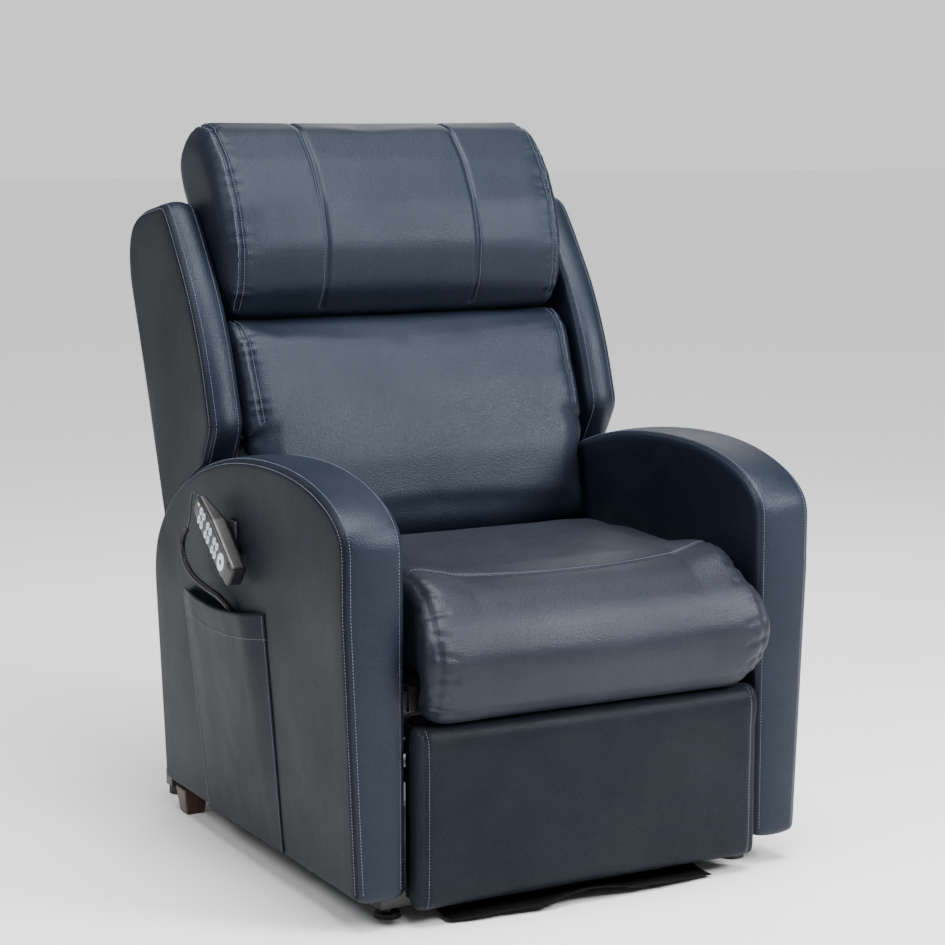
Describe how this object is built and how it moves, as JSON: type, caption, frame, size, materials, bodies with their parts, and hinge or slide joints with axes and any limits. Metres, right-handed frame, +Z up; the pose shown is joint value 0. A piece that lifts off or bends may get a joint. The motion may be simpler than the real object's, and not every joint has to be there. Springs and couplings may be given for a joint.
{
  "type": "powered lift recliner chair",
  "caption": "Padded power chair with rolled arms, folding footrest, reclining back, lifting base, side pocket and corded handset",
  "frame": {"origin": "the floor plane, on the symmetry plane of the chair, about midway between the front of the footrest and the rear of the back", "axes": "+Z up; the sitter faces -Y; +X is the sitter's left; the pocket and the handset are on the -X side"},
  "size_m": [0.7935, 0.9017, 1.0855],
  "materials": {
    "leather": "satin",
    "steel": "satin",
    "zinc": "satin",
    "plastic": "satin",
    "key": "satin",
    "wood": "satin",
    "board": "matte",
    "cloth": "matte",
    "cord": "satin"
  },
  "bodies": {
    "base": {"base_frame": "steel", "dust_cover": "cloth", "levelling_foot_left": "plastic", "levelling_foot_right": "plastic", "rear_foot_left": "plastic", "rear_foot_right": "plastic"},
    "lift_arms": {"lift_frame": "steel"},
    "front_links": {"front_link_left": "steel", "front_link_right": "steel"},
    "lift_actuator": {"lift_motor": "plastic"},
    "lift_ram": {"lift_rod": "zinc"},
    "chassis": {"seat_frame": "steel", "seat_deck": "board", "seat_cushion": "leather", "rear_panel": "leather", "control_box": "plastic", "footrest_motor": "plastic", "back_motor": "plastic", "side_pocket": "leather", "handset_clip": "plastic", "handset_body": "plastic", "handset_lead": "cord", "handset_curl": "cord", "arm_left": "leather", "arm_right": "leather", "rear_leg_left": "wood", "rear_leg_right": "wood"},
    "footrest_ram": {"footrest_rod": "zinc"},
    "back_ram": {"back_rod": "zinc"},
    "footrest_cranks": {"footrest_drive": "steel"},
    "footrest_links_b": {"footrest_link_b_left": "zinc", "footrest_link_b_right": "zinc"},
    "footrest_links_c": {"footrest_link_c_left": "zinc", "footrest_link_c_right": "zinc"},
    "footrest_links_d": {"footrest_link_d_left": "zinc", "footrest_link_d_right": "zinc"},
    "footrest": {"footrest_board": "board", "footrest_cushion": "leather", "footrest_bracket_left": "zinc", "footrest_bracket_right": "zinc"},
    "back": {"back_frame": "steel", "back_panel": "leather", "lumbar_cushion": "leather", "headrest_cushion": "leather", "wing_left": "leather", "wing_right": "leather"},
    "button_left_1_body": {"button_left_1": "key"},
    "button_left_2_body": {"button_left_2": "key"},
    "button_left_3_body": {"button_left_3": "key"},
    "button_left_4_body": {"button_left_4": "key"},
    "button_left_5_body": {"button_left_5": "key"},
    "button_left_6_body": {"button_left_6": "key"},
    "button_right_1_body": {"button_right_1": "key"},
    "button_right_2_body": {"button_right_2": "key"},
    "button_right_3_body": {"button_right_3": "key"},
    "button_right_4_body": {"button_right_4": "key"},
    "button_right_5_body": {"button_right_5": "key"},
    "button_right_6_body": {"button_right_6": "key"},
    "button_home_body": {"button_home": "key"}
  },
  "joints": [
    {"name": "lift", "type": "hinge", "parent": "base", "child": "lift_arms", "pos_m": [0, -0.13, 0.075], "axis": [1, 0, 0], "range_deg": [0, 63]},
    {"name": "chassis_tilt", "type": "hinge", "parent": "lift_arms", "child": "chassis", "pos_m": [0, 0.2651, 0.1376], "axis": [1, 0, 0], "range_deg": [-39.1, 0]},
    {"name": "front_link", "type": "hinge", "parent": "base", "child": "front_links", "pos_m": [0, -0.1607, 0.0553], "axis": [1, 0, 0], "range_deg": [0, 66.8]},
    {"name": "lift_actuator_pivot", "type": "hinge", "parent": "base", "child": "lift_actuator", "pos_m": [0.02, -0.274, 0.09], "axis": [1, 0, 0], "range_deg": [0, 67.1]},
    {"name": "lift_ram_slide", "type": "slide", "parent": "lift_actuator", "child": "lift_ram", "axis": [0, 0.7981, 0.6026], "range_m": [0, 0.081]},
    {"name": "footrest", "type": "hinge", "parent": "chassis", "child": "footrest_cranks", "pos_m": [0, -0.14, 0.3], "axis": [1, 0, 0], "range_deg": [-82, 0]},
    {"name": "footrest_link_b", "type": "hinge", "parent": "chassis", "child": "footrest_links_b", "pos_m": [0, -0.094, 0.2803], "axis": [1, 0, 0], "range_deg": [-82, 0]},
    {"name": "footrest_link_c", "type": "hinge", "parent": "footrest_cranks", "child": "footrest_links_c", "pos_m": [0, -0.06, 0.1], "axis": [1, 0, 0], "range_deg": [0, 82]},
    {"name": "footrest_link_d", "type": "hinge", "parent": "footrest_cranks", "child": "footrest_links_d", "pos_m": [0, -0.0786, 0.1464], "axis": [1, 0, 0], "range_deg": [0, 82]},
    {"name": "footrest_panel", "type": "hinge", "parent": "footrest_links_c", "child": "footrest", "pos_m": [0, -0.35, 0.2], "axis": [1, 0, 0], "range_deg": [-82, 0]},
    {"name": "footrest_ram_slide", "type": "slide", "parent": "chassis", "child": "footrest_ram", "axis": [0, -1, 0], "range_m": [0, 0.0768]},
    {"name": "back", "type": "hinge", "parent": "chassis", "child": "back", "pos_m": [0, 0.1, 0.25], "axis": [1, 0, 0], "range_deg": [-36, 0]},
    {"name": "back_ram_slide", "type": "slide", "parent": "chassis", "child": "back_ram", "axis": [0, -1, 0], "range_m": [0, 0.0465]},
    {"name": "button_left_1_press", "type": "slide", "parent": "chassis", "child": "button_left_1_body", "axis": [1, 0, 0], "range_m": [0, 0.0015], "stiffness_N_per_m": 300, "springref_m": -0.001},
    {"name": "button_left_2_press", "type": "slide", "parent": "chassis", "child": "button_left_2_body", "axis": [1, 0, 0], "range_m": [0, 0.0015], "stiffness_N_per_m": 300, "springref_m": -0.001},
    {"name": "button_left_3_press", "type": "slide", "parent": "chassis", "child": "button_left_3_body", "axis": [1, 0, 0], "range_m": [0, 0.0015], "stiffness_N_per_m": 300, "springref_m": -0.001},
    {"name": "button_left_4_press", "type": "slide", "parent": "chassis", "child": "button_left_4_body", "axis": [1, 0, 0], "range_m": [0, 0.0015], "stiffness_N_per_m": 300, "springref_m": -0.001},
    {"name": "button_left_5_press", "type": "slide", "parent": "chassis", "child": "button_left_5_body", "axis": [1, 0, 0], "range_m": [0, 0.0015], "stiffness_N_per_m": 300, "springref_m": -0.001},
    {"name": "button_left_6_press", "type": "slide", "parent": "chassis", "child": "button_left_6_body", "axis": [1, 0, 0], "range_m": [0, 0.0015], "stiffness_N_per_m": 300, "springref_m": -0.001},
    {"name": "button_right_1_press", "type": "slide", "parent": "chassis", "child": "button_right_1_body", "axis": [1, 0, 0], "range_m": [0, 0.0015], "stiffness_N_per_m": 300, "springref_m": -0.001},
    {"name": "button_right_2_press", "type": "slide", "parent": "chassis", "child": "button_right_2_body", "axis": [1, 0, 0], "range_m": [0, 0.0015], "stiffness_N_per_m": 300, "springref_m": -0.001},
    {"name": "button_right_3_press", "type": "slide", "parent": "chassis", "child": "button_right_3_body", "axis": [1, 0, 0], "range_m": [0, 0.0015], "stiffness_N_per_m": 300, "springref_m": -0.001},
    {"name": "button_right_4_press", "type": "slide", "parent": "chassis", "child": "button_right_4_body", "axis": [1, 0, 0], "range_m": [0, 0.0015], "stiffness_N_per_m": 300, "springref_m": -0.001},
    {"name": "button_right_5_press", "type": "slide", "parent": "chassis", "child": "button_right_5_body", "axis": [1, 0, 0], "range_m": [0, 0.0015], "stiffness_N_per_m": 300, "springref_m": -0.001},
    {"name": "button_right_6_press", "type": "slide", "parent": "chassis", "child": "button_right_6_body", "axis": [1, 0, 0], "range_m": [0, 0.0015], "stiffness_N_per_m": 300, "springref_m": -0.001},
    {"name": "button_home_press", "type": "slide", "parent": "chassis", "child": "button_home_body", "axis": [1, 0, 0], "range_m": [0, 0.0015], "stiffness_N_per_m": 300, "springref_m": -0.001}
  ],
  "couplings": [
    {"joint": "chassis_tilt", "follows": "lift", "ratio": -0.619},
    {"joint": "front_link", "follows": "lift", "ratio": 1.0574},
    {"joint": "lift_actuator_pivot", "follows": "lift", "ratio": 1.0626},
    {"joint": "lift_ram_slide", "follows": "lift", "m_per_rad": 0.0734},
    {"joint": "footrest_link_b", "follows": "footrest", "ratio": 1},
    {"joint": "footrest_link_c", "follows": "footrest", "ratio": -1},
    {"joint": "footrest_link_d", "follows": "footrest", "ratio": -1},
    {"joint": "footrest_panel", "follows": "footrest", "ratio": 1},
    {"joint": "footrest_ram_slide", "follows": "footrest", "m_per_rad": -0.0536},
    {"joint": "back_ram_slide", "follows": "back", "m_per_rad": -0.0734}
  ]
}
